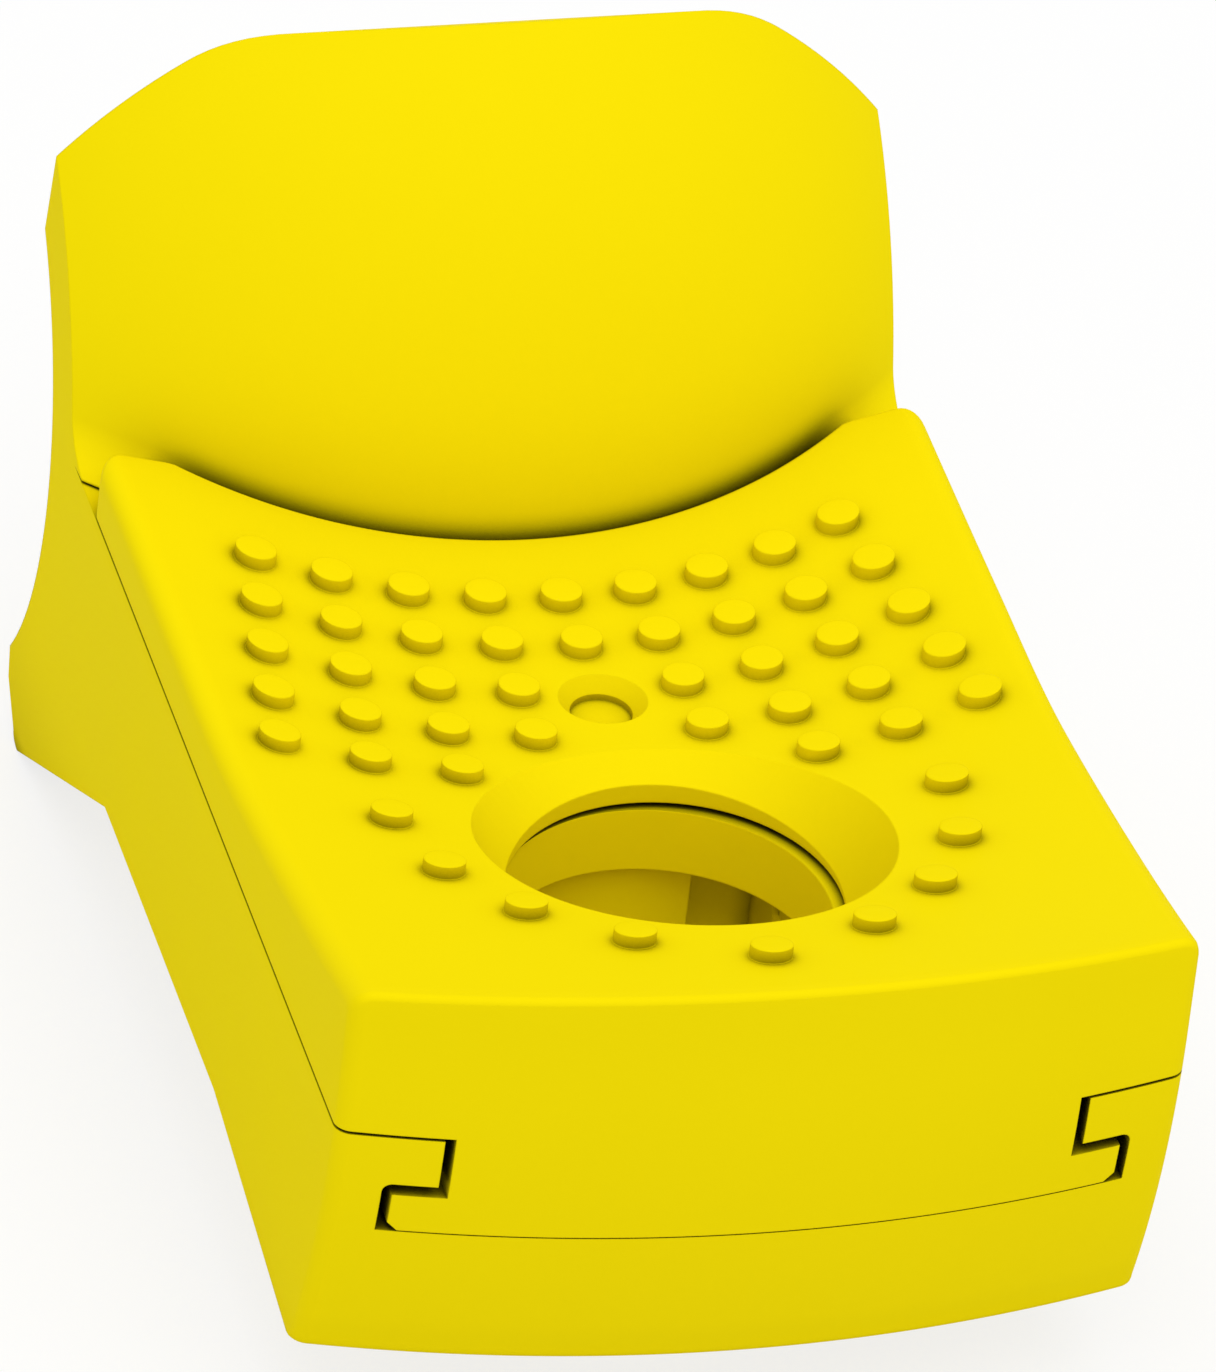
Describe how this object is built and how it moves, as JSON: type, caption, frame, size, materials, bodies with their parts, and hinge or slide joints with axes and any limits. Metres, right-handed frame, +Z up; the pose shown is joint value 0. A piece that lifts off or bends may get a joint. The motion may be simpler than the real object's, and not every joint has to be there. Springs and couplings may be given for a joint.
{
  "type": "breaker lockout hasp",
  "caption": "Moulded lock-off whose dovetailed slide cover hides a clamp screw; the cover's padlock hole lines up with the base's when closed, under an upright curved rear shield",
  "frame": {"origin": "middle of the bounding box in plan, at its lowest point, the tips of the rear foot", "axes": "+X to the right seen from the cover's front, +Y to the rear towards the shield, +Z up out of the cover's top"},
  "size_m": [0.025, 0.0404, 0.0253],
  "materials": {
    "base_plastic": "fine satin moulding, safety yellow",
    "cover_plastic": "fine satin moulding, safety yellow",
    "screw_steel": "turned and zinc plated",
    "ring_steel": "blackened spring steel",
    "jaw_steel": "pressed and zinc plated",
    "pad_rubber": "plain moulded rubber",
    "plate_steel": "pressed steel",
    "plate_screw_steel": "zinc plated",
    "pin_steel": "ground dowel"
  },
  "bodies": {
    "base": {"base_housing": "base_plastic", "retaining_ring": "ring_steel", "grip_plate": "plate_steel", "grip_plate_screw_left": "plate_screw_steel", "grip_plate_screw_right": "plate_screw_steel", "stop_pin_left": "pin_steel", "stop_pin_right": "pin_steel"},
    "cover": {"slide_cover": "cover_plastic"},
    "screw": {"clamp_screw": "screw_steel"},
    "jaw": {"clamp_jaw": "jaw_steel", "jaw_pad": "pad_rubber"}
  },
  "joints": [
    {"name": "cover_slide", "type": "slide", "parent": "base", "child": "cover", "axis": [0, -1, 0], "range_m": [0, 0.012]},
    {"name": "screw_turn", "type": "hinge", "parent": "base", "child": "screw", "pos_m": [0, 0.00477, 0.0089], "axis": [0, 0, -1], "range_deg": [0, 1080]},
    {"name": "jaw_rise", "type": "slide", "parent": "base", "child": "jaw", "axis": [0, 0, 1], "range_m": [0, 0.0015]}
  ],
  "couplings": [
    {"joint": "screw_turn", "follows": "jaw_rise", "rad_per_m": 12566}
  ]
}
